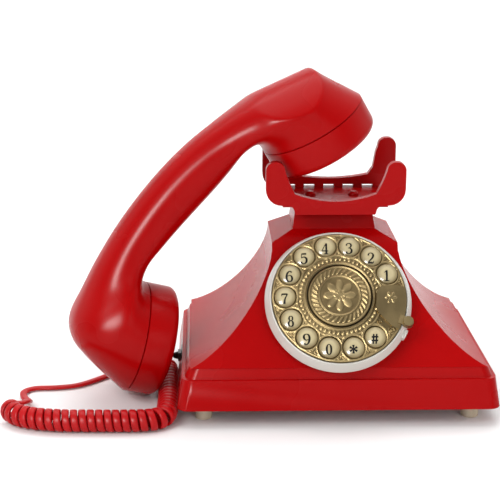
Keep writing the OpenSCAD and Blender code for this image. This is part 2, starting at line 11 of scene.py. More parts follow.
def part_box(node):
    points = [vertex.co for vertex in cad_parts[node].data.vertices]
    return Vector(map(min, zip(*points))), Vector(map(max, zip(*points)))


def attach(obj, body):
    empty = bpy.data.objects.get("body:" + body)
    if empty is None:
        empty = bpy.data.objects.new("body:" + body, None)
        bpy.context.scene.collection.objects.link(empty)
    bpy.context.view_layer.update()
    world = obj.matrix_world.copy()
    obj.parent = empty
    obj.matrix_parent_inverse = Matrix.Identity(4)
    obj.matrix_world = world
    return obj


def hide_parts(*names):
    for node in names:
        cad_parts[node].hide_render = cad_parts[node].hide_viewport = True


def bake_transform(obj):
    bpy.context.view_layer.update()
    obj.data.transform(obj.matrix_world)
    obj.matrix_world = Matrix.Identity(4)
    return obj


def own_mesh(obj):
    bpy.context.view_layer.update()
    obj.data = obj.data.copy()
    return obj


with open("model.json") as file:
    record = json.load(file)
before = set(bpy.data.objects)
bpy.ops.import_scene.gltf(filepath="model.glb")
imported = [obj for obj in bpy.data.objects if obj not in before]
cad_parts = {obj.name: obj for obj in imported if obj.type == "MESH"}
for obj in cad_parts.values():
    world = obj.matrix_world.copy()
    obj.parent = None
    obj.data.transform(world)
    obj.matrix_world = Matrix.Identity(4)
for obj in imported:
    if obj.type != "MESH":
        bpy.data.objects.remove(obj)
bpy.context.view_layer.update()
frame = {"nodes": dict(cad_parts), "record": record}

MM = 0.001
KEY_NAMES = ["1", "2", "3", "4", "5", "6", "7", "8", "9", "0", "star", "hash"]


# ---------------------------------------------------------------- places
def turn(axis, degrees):
    return Matrix.Rotation(math.radians(degrees), 4, axis)


def shift(x, y, z):
    return Matrix.Translation(Vector((x, y, z)) * MM)


def base_place():
    """The middle of the plinth's front edge, on the table."""
    low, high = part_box("plinth")
    return Matrix.Translation(((low.x + high.x) / 2, low.y, 0))


BASE = base_place()
DIAL = BASE @ shift(0, 29.07, 64.6) @ turn("X", 54)
HANDSET = BASE @ shift(-13, 78, 162.4) @ turn("Z", 12) @ turn("X", 90) @ turn("Z", 49)
EAR = HANDSET @ turn("Z", -108.6) @ turn("Y", 90)
MOUTH = HANDSET @ shift(-166, 0, 0) @ turn("Z", -64.5) @ turn("Y", 90)


# ---------------------------------------------------------------- lines and outlines
def catmull(points, per):
    """A smooth line through points, with per steps between each two."""
    p = [points[0]] + list(points) + [points[-1]]
    out = []
    for i in range(1, len(p) - 2):
        a, b, c, d = (np.array(q, float) for q in p[i - 1:i + 3])
        for k in range(per):
            t = k / per
            out.append(0.5 * (2 * b + (c - a) * t + (2 * a - 5 * b + 4 * c - d) * t ** 2
                              + (3 * b - a - 3 * c + d) * t ** 3))
    return np.array(out + [np.array(points[-1], float)])


def evenly(line, step):
    """The same line with its points an even step apart."""
    far = np.concatenate([[0], np.cumsum(np.linalg.norm(np.diff(line, axis=0), axis=1))])
    at = np.linspace(0, far[-1], max(2, round(far[-1] / step) + 1))
    return np.stack([np.interp(at, far, line[:, k]) for k in range(line.shape[1])], 1)


def smoothstep(low, high, x):
    """From 0 at low to 1 at high, without a corner; the other way round if low is the higher."""
    t = np.clip((np.asarray(x, float) - low) / (high - low), 0, 1)
    return t * t * (3 - 2 * t)


def unit(v):
    return v / np.maximum(np.linalg.norm(v, axis=-1, keepdims=True), 1e-12)


def fillet(points, radius, steps=4, most=0.45):
    """A closed outline with its corners rounded, by up to that share of the shorter side."""
    out = []
    for i, p in enumerate(points):
        p = np.array(p, float)
        a = np.array(points[i - 1], float)
        b = np.array(points[(i + 1) % len(points)], float)
        reach = min(radius, np.linalg.norm(a - p) * most, np.linalg.norm(b - p) * most)
        start = p + unit(a - p) * reach
        end = p + unit(b - p) * reach
        for k in range(steps + 1):
            t = k / steps
            out.append((1 - t) ** 2 * start + 2 * t * (1 - t) * p + t * t * end)
    return out


# ---------------------------------------------------------------- meshes
def piece(name, points, faces, place, material, sharp=40):
    """A mesh object from points in millimetres in their own place."""
    mesh = bpy.data.meshes.new(name)
    mesh.from_pydata([place @ (Vector(p) * MM) for p in points], [], faces)
    mesh.validate()
    obj = bpy.data.objects.new(name, mesh)
    bpy.context.scene.collection.objects.link(obj)
    finish_mesh(obj, sharp)
    obj.data.materials.append(material)
    return obj


def finish_mesh(obj, sharp):
    """Turns the faces outwards, and shades smooth across edges below that angle."""
    bm = bmesh.new()
    bm.from_mesh(obj.data)
    bmesh.ops.recalc_face_normals(bm, faces=bm.faces)
    for face in bm.faces:
        face.smooth = True
    for edge in bm.edges:
        edge.smooth = len(edge.link_faces) == 2 and edge.calc_face_angle(0) < math.radians(sharp)
    bm.to_mesh(obj.data)
    bm.free()


def bake_modifiers(obj):
    """Puts what the modifiers made into the mesh itself."""
    depsgraph = bpy.context.evaluated_depsgraph_get()
    made = bpy.data.meshes.new_from_object(obj.evaluated_get(depsgraph))
    obj.modifiers.clear()
    obj.data = made


def round_edges(obj, width, segments, angle):
    """Rounds the edges that turn by more than angle."""
    bevel = obj.modifiers.new("round", "BEVEL")
    bevel.width = width * MM
    bevel.segments = segments
    bevel.limit_method = "ANGLE"
    bevel.angle_limit = math.radians(angle)
    bevel.miter_outer = "MITER_ARC"
    weighted = obj.modifiers.new("weighted", "WEIGHTED_NORMAL")
    weighted.keep_sharp = True
    for polygon in obj.data.polygons:
        polygon.use_smooth = True
    bake_modifiers(obj)


def softened(node, width, material, segments=3, angle=28):
    """A copy of a CAD node with its seams joined and its edges rounded, which stands for it."""
    same_spot, flat = 2e-6, math.radians(0.6)
    source = frame["nodes"][node]
    obj = bpy.data.objects.new(node + "_moulded", source.data.copy())
    bpy.context.scene.collection.objects.link(obj)
    bm = bmesh.new()
    bm.from_mesh(obj.data)
    bmesh.ops.remove_doubles(bm, verts=bm.verts, dist=same_spot)
    bmesh.ops.dissolve_limit(bm, angle_limit=flat, verts=bm.verts, edges=bm.edges)
    for edge in bm.edges:
        edge.smooth = True
    bm.to_mesh(obj.data)
    bm.free()
    obj.data.materials.clear()
    obj.data.materials.append(material)
    round_edges(obj, width, segments, angle)
    return stand_for(obj, node)


def stand_for(obj, *nodes):
    """obj rides on the body of the nodes it replaces, which are hidden."""
    body = next(b for b, members in frame["record"]["behaviour"]["bodies"].items()
                if nodes[0] in members)
    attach(obj, body)
    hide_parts(*nodes)
    return obj


def lathe(name, profile, place, material, sides=160, sharp=40, lift=None):
    """A closed outline of radius, height and how much of lift it takes, turned round Z."""
    points, rings, faces = [], [], []
    for r, z, *share in profile:
        count = 1 if r < 1e-6 else sides
        angles = 2 * np.pi * np.arange(count) / sides
        x, y = r * np.cos(angles), r * np.sin(angles)
        heights = z + (share[0] * lift(x, y) if share else 0) + 0 * x
        rings.append((len(points), count))
        points += list(zip(x.tolist(), y.tolist(), heights.tolist()))
    for i in range(len(profile)):
        (a, na), (b, nb) = rings[i], rings[(i + 1) % len(profile)]
        for k in range(sides):
            j = (k + 1) % sides
            if na == sides and nb == sides:
                faces.append((a + k, a + j, b + j, b + k))
            elif na == sides:
                faces.append((a + k, a + j, b))
            elif nb == sides:
                faces.append((a, b + j, b + k))
    return piece(name, points, faces, place, material, sharp)


def pins(spots, radius, low, high, place, material, sides=32):
    """Round pins side by side, as one object to cut holes with."""
    points, faces = [], []
    for x, y in spots:
        start = len(points)
        for z in (low, high):
            points += [(x + radius * math.cos(2 * math.pi * k / sides),
                        y + radius * math.sin(2 * math.pi * k / sides), z) for k in range(sides)]
        faces += [(start + k, start + (k + 1) % sides, start + sides + (k + 1) % sides,
                   start + sides + k) for k in range(sides)]
        faces += [tuple(range(start, start + sides))[::-1],
                  tuple(range(start + sides, start + 2 * sides))]
    return piece("pins", points, faces, place, material)


def loft(name, rings, place, material, sharp=40):
    """A skin over rings of points, closed at both ends."""
    n = len(rings[0])
    points = [p for ring in rings for p in ring]
    faces = [(r * n + k, r * n + (k + 1) % n, (r + 1) * n + (k + 1) % n, (r + 1) * n + k)
             for r in range(len(rings) - 1) for k in range(n)]
    faces += [tuple(range(n))[::-1], tuple(range(len(points) - n, len(points)))]
    return piece(name, points, faces, place, material, sharp)


def tube(name, line, ups, half_w, half_t, place, material, sides=12):
    """A cable along a line: its flat side's normal follows ups."""
    along = unit(np.gradient(line, axis=0))
    across = unit(np.cross(along, ups))
    up = np.cross(across, along)
    angles = [2 * math.pi * (k + 0.5) / sides for k in range(sides)]
    squareness = 0.62
    outline = [(half_w * abs(math.cos(a)) ** squareness * math.copysign(1, math.cos(a)),
                half_t * abs(math.sin(a)) ** squareness * math.copysign(1, math.sin(a)))
               for a in angles]
    rings = [[p + c * wide + u * thick for wide, thick in outline]
             for p, c, u in zip(line, across, up)]
    return loft(name, rings, place, material, sharp=60)


def cut(obj, cutter):
    """Takes the cutter out of obj, and removes it."""
    modifier = obj.modifiers.new("cut", "BOOLEAN")
    modifier.object = cutter
    modifier.solver = "EXACT"
    bake_modifiers(obj)
    bpy.data.objects.remove(cutter)


def mark_relief_and_shade(obj, place, relief_and_shade_value):
    """Keeps a value from 0 to 1 at each point for the paint to follow: the ornament's height, or on
    the keys a painted shade.
    """
    back = place.inverted()
    at = np.array([list(back @ vertex.co) for vertex in obj.data.vertices]) / MM
    values = np.clip(relief_and_shade_value(at[:, 0], at[:, 1]) + 0 * at[:, 0], 0, 1)
    relief_and_shade_layer = obj.data.attributes.new("relief", "FLOAT", "POINT")
    relief_and_shade_layer.data.foreach_set("value", values.astype(np.float32))


# ---------------------------------------------------------------- materials
GRAIN_DEPTH = 0.0002


def material(name, colour, roughness, metallic=0.0, coat=0.0, bump=0.0, scale=400.0, mottle=0.0,
             patchy=0.0, specular=0.5):
    """A surface with fine grain in its relief, and slow changes in its colour and polish."""
    coat_roughness, slow_share = 0.08, 0.06
    made = bpy.data.materials.new(name)
    made.use_nodes = True
    tree = made.node_tree
    shader = tree.nodes["Principled BSDF"]
    shader.inputs["Metallic"].default_value = metallic
    shader.inputs["Coat Weight"].default_value = coat
    shader.inputs["Coat Roughness"].default_value = coat_roughness
    shader.inputs["Specular IOR Level"].default_value = specular
    spots = tree.nodes.new("ShaderNodeTexCoord")
    slow = noise_node(tree, spots, scale * slow_share, 3)
    fine = noise_node(tree, spots, scale, 4)
    darker = tuple(c * (1 - mottle) for c in colour) + (1,)
    ramp(tree, slow, [(0.35, darker), (0.65, tuple(colour) + (1,))], shader.inputs["Base Color"])
    low, high = roughness - patchy, roughness + patchy
    ramp(tree, slow, [(0.3, (low, low, low, 1)), (0.7, (high, high, high, 1))],
         shader.inputs["Roughness"])
    relief(tree, fine, bump, shader)
    return made


def noise_node(tree, spots, scale, detail):
    node = tree.nodes.new("ShaderNodeTexNoise")
    node.inputs["Scale"].default_value = scale
    node.inputs["Detail"].default_value = detail
    tree.links.new(spots.outputs["Object"], node.inputs["Vector"])
    return node.outputs["Fac"]


def ramp(tree, source, stops, target):
    """Turns a value into the colours between two stops."""
    node = tree.nodes.new("ShaderNodeValToRGB")
    for element, (at, colour) in zip(node.color_ramp.elements, stops):
        element.position = at
        element.color = colour
    tree.links.new(source, node.inputs["Fac"])
    tree.links.new(node.outputs["Color"], target)


def relief(tree, source, strength, shader):
    node = tree.nodes.new("ShaderNodeBump")
    node.inputs["Strength"].default_value = strength
    node.inputs["Distance"].default_value = GRAIN_DEPTH
    tree.links.new(source, node.inputs["Height"])
    tree.links.new(node.outputs["Normal"], shader.inputs["Normal"])


def tinted_by_relief_and_shade(made, stops):
    """Multiplies the colour by a ramp along the mesh's relief attribute, which on the keys holds a
    painted shade.
    """
    tree = made.node_tree
    shader = tree.nodes["Principled BSDF"]
    plain = shader.inputs["Base Color"].links[0].from_socket
    relief_and_shade_value = tree.nodes.new("ShaderNodeAttribute")
    relief_and_shade_value.attribute_name = "relief"
    mix = tree.nodes.new("ShaderNodeMixRGB")
    mix.blend_type = "MULTIPLY"
    mix.inputs["Fac"].default_value = 1
    tree.links.new(plain, mix.inputs["Color1"])
    ramp(tree, relief_and_shade_value.outputs["Fac"], stops, mix.inputs["Color2"])
    tree.links.new(mix.outputs["Color"], shader.inputs["Base Color"])
    return made


def antique_gold():
    """Brass plating, dark in its hollows and bright on its ridges."""
    made = material("gold_plating", (0.3, 0.23, 0.118), 0.44, metallic=1.0, bump=0.3, scale=900,
                    mottle=0.2, patchy=0.06)
    return tinted_by_relief_and_shade(made, [(0.08, (0.66, 0.63, 0.58, 1)), (0.8, (1.2, 1.18, 1.13, 1))])


def domed_cream():
    """Cream keys under clear domes, with painted shade that darkens them towards their rims."""
    made = material("key_cream", (0.52, 0.44, 0.255), 0.24, coat=0.1, bump=0.05, scale=500,
                    mottle=0.1, patchy=0.03, specular=0.3)
    # Painted shade: full colour at each key's middle, multiplied down to olive brown at its rim.
    return tinted_by_relief_and_shade(made, [(0.12, (0.36, 0.3, 0.2, 1)), (0.62, (1, 1, 1, 1))])


def make_materials():
    return {
        "red": material("red_gloss", (0.36, 0.0005, 0.001), 0.27, bump=0.06, scale=260,
                        mottle=0.06, patchy=0.04, specular=0.1),
        "dark_red": material("red_matt", (0.2, 0.004, 0.006), 0.5, bump=0.4, scale=900, mottle=0.1,
                             patchy=0.06),
        "cord": material("cord_jacket", (0.44, 0.0012, 0.003), 0.4, bump=0.25, scale=700,
                         mottle=0.12, patchy=0.05, specular=0.2),
        "white": material("bezel_white", (0.58, 0.56, 0.51), 0.36, bump=0.12, scale=500,
                          mottle=0.05, patchy=0.05),
        "cream": domed_cream(),
        "gold": antique_gold(),
        "ink": material("digit_ink", (0.006, 0.0055, 0.005), 0.6, bump=0.3, scale=1500, mottle=0.2,
                        patchy=0.08, specular=0.15),
        "foot": material("foot_rubber", (0.5, 0.42, 0.3), 0.62, bump=0.7, scale=1400, mottle=0.15,
                         patchy=0.1),
        "steel": material("plated_steel", (0.6, 0.6, 0.58), 0.28, metallic=1.0, bump=0.3, scale=900,
                          mottle=0.15, patchy=0.1),
        "iron": material("plain_iron", (0.16, 0.16, 0.165), 0.5, metallic=1.0, bump=0.9, scale=600,
                         mottle=0.3, patchy=0.12),
        "board": material("board_green", (0.02, 0.14, 0.05), 0.35, coat=0.3, bump=0.3, scale=500,
                          mottle=0.2, patchy=0.06),
        "brass": material("brass_case", (0.55, 0.4, 0.16), 0.3, metallic=1.0, bump=0.3, scale=800,
                          mottle=0.2, patchy=0.1),
        "black": material("black_plastic", (0.018, 0.016, 0.016), 0.38, bump=0.35, scale=1100,
                          mottle=0.2, patchy=0.08),
        "grey": material("grey_rubber", (0.2, 0.2, 0.2), 0.6, bump=0.5, scale=1300, mottle=0.15,
                         patchy=0.08),
        "capsule": material("capsule_case", (0.06, 0.06, 0.065), 0.45, bump=0.4, scale=900,
                            mottle=0.2, patchy=0.1),
        "floor": material("floor_paper", (0.86, 0.86, 0.86), 0.7, bump=0.05, scale=60, mottle=0.01,
                          patchy=0.05, specular=0.2),
    }


# ---------------------------------------------------------------- camera, floor and light
CAMERA_LENS = 100.63
CAMERA_AT = (-80.25, -741.3, 312.4)
CAMERA_TURN, CAMERA_DOWN, CAMERA_ROLL = -2.18, 15.58, 0.36
FLOOR_REACH, FLOOR_FLAT_TO, FLOOR_BEND_R, FLOOR_RISE = 2.4, 0.9, 0.7, 1.1


def add_camera():
    """Where the photo was taken from, looking down on the dial, with a slight roll."""
    data = bpy.data.cameras.new("camera")
    data.lens = CAMERA_LENS
    data.sensor_width = 36
    data.clip_end = 20
    camera = bpy.data.objects.new("camera", data)
    bpy.context.scene.collection.objects.link(camera)
    camera.matrix_world = (BASE @ shift(*CAMERA_AT) @ turn("Z", CAMERA_TURN)
                           @ turn("X", 90 - CAMERA_DOWN) @ turn("Z", CAMERA_ROLL))
    bpy.context.scene.camera = camera


def add_floor(paint):
    """One pale sheet, flat under the object and curved up far behind it."""
    flat_to, bend, just_under = FLOOR_FLAT_TO, FLOOR_BEND_R, 0.0001
    line = [(-FLOOR_REACH, 0), (flat_to, 0)]
    line += [(flat_to + bend * math.sin(a), bend - bend * math.cos(a))
             for a in (math.radians(6 * k) for k in range(1, 16))]
    line += [(flat_to + bend, bend + FLOOR_RISE)]
    points = [(x / MM, y / MM, (z - just_under) / MM)
              for x in (-FLOOR_REACH, FLOOR_REACH) for y, z in line]
    n = len(line)
    faces = [(k, k + 1, n + k + 1, n + k) for k in range(n - 1)]
    piece("floor", points, faces, Matrix(), paint, sharp=30)


def area_light(name, at, aim, size, power, diffuse=True, shine=True):
    """A rectangle of light, which may be left out of diffuse light or out of reflections."""
    data = bpy.data.lights.new(name, "AREA")
    data.shape = "RECTANGLE"
    data.size, data.size_y = size
    data.energy = power
    light = bpy.data.objects.new(name, data)
    bpy.context.scene.collection.objects.link(light)
    light.location = at
    light.rotation_euler = (Vector(aim) - Vector(at)).to_track_quat("-Z", "Y").to_euler()
    light.visible_diffuse, light.visible_glossy = diffuse, shine


def add_lights():
    area_light("key", (-0.75, -0.85, 0.95), (0, 0, 0.08), (0.55, 0.7), 9, shine=False)
    area_light("shine", (-0.45, -1.1, 0.46), (0, 0, 0.1), (0.3, 0.3), 20, diffuse=False)
    area_light("fill", (0.5, -1.1, 0.4), (0, 0, 0.08), (0.5, 0.5), 4, shine=False)
    area_light("top", (0.0, 0.25, 1.3), (0, 0, 0), (1.2, 0.9), 7)
    area_light("wall", (0.0, 0.75, 1.5), (0, 1.6, 0.7), (2.2, 0.4), 16)


def add_world():
    """White all round and behind, and dim on the side in front of the dial."""
    world = bpy.data.worlds.new("studio")
    bpy.context.scene.world = world
    world.use_nodes = True
    tree = world.node_tree
    spots = tree.nodes.new("ShaderNodeTexCoord")
    parts = tree.nodes.new("ShaderNodeSeparateXYZ")
    tree.links.new(spots.outputs["Generated"], parts.inputs[0])
    span = tree.nodes.new("ShaderNodeMapRange")
    span.inputs["From Min"].default_value = -0.75
    span.inputs["From Max"].default_value = 0.1
    tree.links.new(parts.outputs["Y"], span.inputs["Value"])
    ramp(tree, span.outputs["Result"], [(0.0, (0.2, 0.2, 0.2, 1)), (1.0, (1, 1, 1, 1))],
         tree.nodes["Background"].inputs["Color"])
    tree.nodes["Background"].inputs["Strength"].default_value = 1.0
    bpy.context.scene.view_settings.view_transform = "Standard"


# ---------------------------------------------------------------- the handset's cord
CABLE_W, CABLE_T = 4.2, 2.1
COIL_R = 5.35
COIL_PITCH = 4.75
LOOSE_PITCH = 40
COIL_Z = 6.55
CABLE_STEP = 1.6
ROUTE_STEPS = 16
COIL_ROUTE = [[-183.5, 25], [-187.5, 22], [-189, 15], [-185, 7.5], [-175, 1.5], [-160, -2],
              [-142, -3], [-125, -3.5], [-111, -3], [-104, -0.5], [-99.6, 6], [-98.4, 24],
              [-98.4, 48], [-98.8, 70], [-101, 92]]
HANDSET_LEAD_ROUTE = [[-137.95, 90.35, 38.5], [-139.2, 96.4, 38], [-139.6, 104, 33.5],
                      [-137, 111, 23], [-131, 114.5, 12], [-124, 115, 5], [-116, 113, 2.4],
                      [-108, 107, 3.6], [-103, 100, 5.6], [-101, 92, COIL_Z]]
BASE_LEAD_ROUTE = [[-183.5, 25, COIL_Z], [-181, 29, 6], [-181, 36, 3], [-185, 46, 1.6],
                   [-186, 55, 1.6], [-180, 61, 1.6], [-168, 62, 1.6], [-154, 66, 1.6],
                   [-140, 79, 1.6], [-128, 92, 2], [-114, 97, 6], [-105, 91, 13],
                   [-103, 82, 17.8], [-102.6, 74.5, 20.1], [-100.6, 68.6, 20.6],
                   [-96.05, 66, 20.5]]


def cord_middles():
    """Middle lines of the tail, the coil and the lead, each running on into the next."""
    coil = [[x, y, COIL_Z] for x, y in COIL_ROUTE]
    line = catmull(BASE_LEAD_ROUTE[::-1] + coil[1:-1] + HANDSET_LEAD_ROUTE[::-1], ROUTE_STEPS)
    first = ROUTE_STEPS * (len(BASE_LEAD_ROUTE) - 1)
    last = first + ROUTE_STEPS * (len(COIL_ROUTE) - 1)
    return line[:first + 1], line[first:last + 1], line[last:]


def coiled(middle):
    """The cable's line round the coil, and the way out from the coil's middle at each point."""
    fine = 0.05
    centre = evenly(middle, fine)
    along = unit(np.gradient(centre, axis=0))
    up = np.array([0.0, 0, 1])
    side = np.cross(along, up)
    from_end = fine * np.minimum(np.arange(len(centre)), np.arange(len(centre))[::-1])
    wound = smoothstep(0.5 * COIL_PITCH, 4 * COIL_PITCH, from_end)
    rate = 2 * math.pi * (wound / COIL_PITCH + (1 - wound) / LOOSE_PITCH)
    angle = np.cumsum(rate) * fine
    out = up * np.cos(angle)[:, None] + side * np.sin(angle)[:, None]
    opened = smoothstep(0, 3 * COIL_PITCH, from_end)[:, None]
    line = np.hstack([centre + COIL_R * opened * out, out * opened + up * (1 - opened)])
    far = np.concatenate([[0], np.cumsum(np.linalg.norm(np.diff(line[:, :3], axis=0), axis=1))])
    at = np.linspace(0, far[-1], round(far[-1] / CABLE_STEP))
    line = np.stack([np.interp(at, far, column) for column in line.T], 1)
    return line[:, :3], unit(line[:, 3:])


def handset_cord(paint, plug_paint):
    """One flat cable: tail from the base, coil on the table, lead up to the handset."""
    tail, middle, lead = cord_middles()
    coil, coil_ups = coiled(middle)
    tail, lead = evenly(tail, CABLE_STEP)[:-1], evenly(lead, CABLE_STEP)[1:]
    up = np.array([0.0, 0, 1])
    line = np.concatenate([tail, coil, lead])
    ups = np.concatenate([np.tile(up, (len(tail), 1)), coil_ups, np.tile(up, (len(lead), 1))])
    cord = tube("handset_cord", line, ups, CABLE_W / 2, CABLE_T / 2, BASE, paint)
    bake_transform(cord)
    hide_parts("base_lead", "curly_cord", "handset_lead")
    plugs = [softened(node, 0.3, plug_paint) for node in ("base_plug", "handset_plug")]


paints = make_materials()
add_camera()
add_floor(paints["floor"])
add_lights()
add_world()
handset_cord(paints["cord"], paints["black"])


# ---------------------------------------------------------------- the handset
# Outer point x, y, inner point x, y, half width and squareness of each section
SKIN = [
    [-195.97, -14.3, -136.03, 14.3, 33.2, 2],
    [-194.4, 2, -136.8, 16.8, 32.4, 2.1],
    [-192, 18, -136.6, 19, 31, 2.3],
    [-188.4, 30, -134.5, 21, 28, 2.5],
    [-180, 37.6, -130, 22.6, 24, 2.4],
    [-164, 42.2, -122, 23.8, 20, 2.3],
    [-143, 47.2, -111, 23.4, 17.6, 2.4],
    [-116, 51.2, -98, 22.8, 16.6, 2.4],
    [-87, 52.4, -83, 22, 16.2, 2.4],
    [-60, 50.4, -67, 21.3, 16.6, 2.4],
    [-36, 45.6, -53.5, 21.5, 18.2, 2.3],
    [-12, 39.4, -42.5, 23, 22, 2.3],
    [8, 34.8, -34.4, 22, 27, 2.45],
    [21.8, 27.4, -30.8, 18.8, 30.2, 2.4],
    [26.2, 11, -30.4, 14.2, 32, 2.05],
    [31.47, -10.59, -31.47, 10.59, 33.2, 2]]
CAP_R, CAP_H, CAP_EDGE = 33.2, 18.8, 4.5
HOLE_R = 1.15
SOCKET_AT = (-172, 9, -33)
SOCKET_HALF_W, SOCKET_HALF_H, SOCKET_HALF_DEPTH = 5.6, 4.6, 12
SKIN_SIDES = 72
SKIN_STEPS = 7
# The ear bell's back is cut off by a barrel vault: a point on it, its slope and its radius
VAULT_AT, VAULT_SLOPE, VAULT_R = (21.6, 23.6), -26.4, 31
VAULT_FROM_X = -50


def section(row):
    """One closed section of the skin, in the handset's own plane and across it."""
    middle = np.array([(row[0] + row[2]) / 2, (row[1] + row[3]) / 2])
    half = np.array([(row[0] - row[2]) / 2, (row[1] - row[3]) / 2])
    a = 2 * np.pi * np.arange(SKIN_SIDES) / SKIN_SIDES
    c = np.sign(np.cos(a)) * np.abs(np.cos(a)) ** (2 / row[5])
    d = np.sign(np.sin(a)) * np.abs(np.sin(a)) ** (2 / row[5])
    return np.column_stack([middle + np.outer(c, half), row[4] * d])


def pressed_to_vault(points):
    """Presses points down to the vault, with a crisp edge."""
    a, softness = math.radians(VAULT_SLOPE), 0.3
    normal = np.array([-math.sin(a), math.cos(a), 0])
    over = (points - np.array([*VAULT_AT, 0])) @ normal + points[:, 2] ** 2 / (2 * VAULT_R)
    soft = 0.5 * (over + np.sqrt(over ** 2 + softness))
    return points - np.outer(soft, normal)


def handset_shell(paint):
    """The handle and its two bells, with the mouth of the cord's socket cut in."""
    rings = [pressed_to_vault(section(row)) if row[0] > VAULT_FROM_X else section(row)
             for row in catmull(SKIN, SKIN_STEPS)]
    obj = loft("handset_skin", rings, HANDSET, paint, sharp=50)
    mouth = HANDSET @ shift(*SOCKET_AT) @ turn("Y", 180)
    block = [[(x * SOCKET_HALF_W, y * SOCKET_HALF_H, z)
              for x, y in ((-1, -1), (1, -1), (1, 1), (-1, 1))]
             for z in (-SOCKET_HALF_DEPTH, SOCKET_HALF_DEPTH)]
    cut(obj, loft("block", block, mouth, paint))
    finish_mesh(obj, 50)
    return stand_for(obj, "handset_shell")


def handset_cap(node, place, paint):
    """A cap with a rounded edge, a slightly sunk face and rings of sound holes."""
    outline = [(0, 0.5), (CAP_R - 0.6, 0.5), (CAP_R - 0.1, 0.9), (CAP_R, 1.4)]
    outline += [(CAP_R - CAP_EDGE * (1 - math.cos(a)), CAP_H - CAP_EDGE * (1 - math.sin(a)))
                for a in (math.radians(9 * k) for k in range(11))]
    outline += [(26, CAP_H), (21, CAP_H - 0.15), (13, CAP_H - 0.6), (0, CAP_H - 0.9)]
    cap = lathe(node + "_turned", outline, place, paint, sides=144)
    holes = [(0, 0)] + [(r * math.cos(math.radians(a)), r * math.sin(math.radians(a)))
                        for r, step in ((5, 60), (10, 30)) for a in range(0, 360, step)]
    cut(cap, pins(holes, HOLE_R, 12, 22, place, paint, sides=20))
    finish_mesh(cap, 35)
    return stand_for(cap, node)


# ---------------------------------------------------------------- the base
def mould_base():
    """The casings, feet, sockets and prongs as the CAD has them, with rounded edges."""
    softened("plinth", 1.0, paints["red"], 4)
    softened("upper_housing", 1.1, paints["red"], 4, angle=20)
    softened("cradle", 0.9, paints["red"], 4)
    for node, width, look in (("base_plate", 0.4, "dark_red"), ("rubber_feet", 0.7, "foot"),
                              ("base_screws", 0.3, "steel"), ("line_socket", 0.25, "black"),
                              ("cord_socket", 0.25, "black"), ("handset_socket", 0.25, "black"),
                              ("hook_prongs", 0.35, "red")):
        softened(node, width, paints[look])


def hook_spring(paint):
    """A wound spring that stands for the hook spring and rides on its body."""
    place = BASE @ shift(0, 76.5, 95)
    tall, outer_r, wire, turns, travel = 9.4, 3.4, 0.42, 5, 2.2
    gap_below, gap_both = 0.05, 0.15
    a = np.linspace(0, 2 * math.pi * turns, 24 * turns)
    middle_r = outer_r - wire
    rise = wire + gap_below + (tall - 2 * wire - gap_both) * a / a[-1]
    line = np.column_stack([middle_r * np.cos(a), middle_r * np.sin(a), rise])
    ups = np.column_stack([np.cos(a), np.sin(a), 0 * a])
    spring = stand_for(tube("hook_spring_wound", line, ups, wire, wire, place, paint, sides=8),
                       "hook_spring")
    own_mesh(spring)


def paint_hidden():
    """The CAD nodes inside the casings keep their own shapes."""
    looks = {"ballast_plate": "iron", "main_board": "board", "keypad_board": "board",
             "ringer": "brass", "hook_switch": "black",
             "keypad_mat": "grey", "dial_frame": "black", "dial_screws": "steel",
             "receiver": "capsule", "receiver_clamp": "black", "microphone": "capsule",
             "microphone_holder": "black", "handset_weight": "steel"}
    for node, look in looks.items():
        mesh = frame["nodes"][node].data
        mesh.materials.clear()
        mesh.materials.append(paints[look])


handset_shell(paints["red"])
handset_cap("ear_cap", EAR, paints["red"])
handset_cap("mouth_cap", MOUTH, paints["red"])
mould_base()
hook_spring(paints["steel"])
paint_hidden()


# ---------------------------------------------------------------- the dial
PLATE_R, PLATE_H, PLATE_DOME = 38.6, 12.6, 3.4
PLATE_HOLE_R = 18.9
MEDALLION_R = 18.3
KEY_RING, KEY_R, KEY_HOLE_R = 31.0, 6.1, 6.4
KEY_START, KEY_STEP = 26, 25.7
PLATE_T = 2.2
ORNAMENT = 0.55
LUG_ANGLE = -29
STOP_FLOWER_AT = (29.4, -1.2)
STOP_FLOWER_R = 4.1


def dome(r):
    """Height of the dial plate over the front face."""
    return PLATE_H + PLATE_DOME * (1 - (r / PLATE_R) ** 2)


def key_spot(i):
    a = math.radians(KEY_START + i * KEY_STEP)
    return KEY_RING * math.cos(a), KEY_RING * math.sin(a)


KEY_SPOTS = [key_spot(i) for i in range(len(KEY_NAMES))]


def ridge(x, middle, width):
    return np.exp(-((x - middle) / width) ** 2)


def volute(u, v, eye_u, eye_v, size):
    """A spiral ridge that winds in to its eye."""
    far = np.hypot(u - eye_u, v - eye_v)
    around = np.arctan2(v - eye_v, u - eye_u)
    wave = 0.5 + 0.5 * np.cos(2 * np.pi * far / (0.5 * size) - around)
    return wave ** 1.5 * smoothstep(size, 0.8 * size, far)


def plate_ornament(x, y):
    """Beads and ridges round the middle, rims round the keys, and scrolls between them."""
    r, a = np.hypot(x, y), np.degrees(np.arctan2(y, x))
    near = np.min([np.hypot(x - kx, y - ky) for kx, ky in KEY_SPOTS], axis=0)
    rings = ridge(r, 20, 0.45) + ridge(r, 24.6, 0.45) + 0.9 * ridge(r, 37.9, 0.5)
    beads = ridge(r, 22.3, 0.8) * (0.5 + 0.5 * np.cos(np.radians(54 * a)))
    rims = ridge(near, 7.2, 0.6)
    between = (a - KEY_START + KEY_STEP / 2) % KEY_STEP - KEY_STEP / 2
    off = np.radians(KEY_STEP / 2 - np.abs(between))
    u, v = r * np.sin(off), r * np.cos(off)
    scrolls = (volute(u, v, 2.3, 35.4, 2.3) + volute(u, v, 1.6, 27.3, 1.7)
               + 0.8 * ridge(u, 0, 0.5) * smoothstep(29, 30, v) * smoothstep(34, 33, v))
    field = smoothstep(7.6, 8.2, near) * smoothstep(25, 25.6, r) * smoothstep(37.4, 36.9, r)
    return np.clip(rings + beads + rims + scrolls * field, 0, 1)


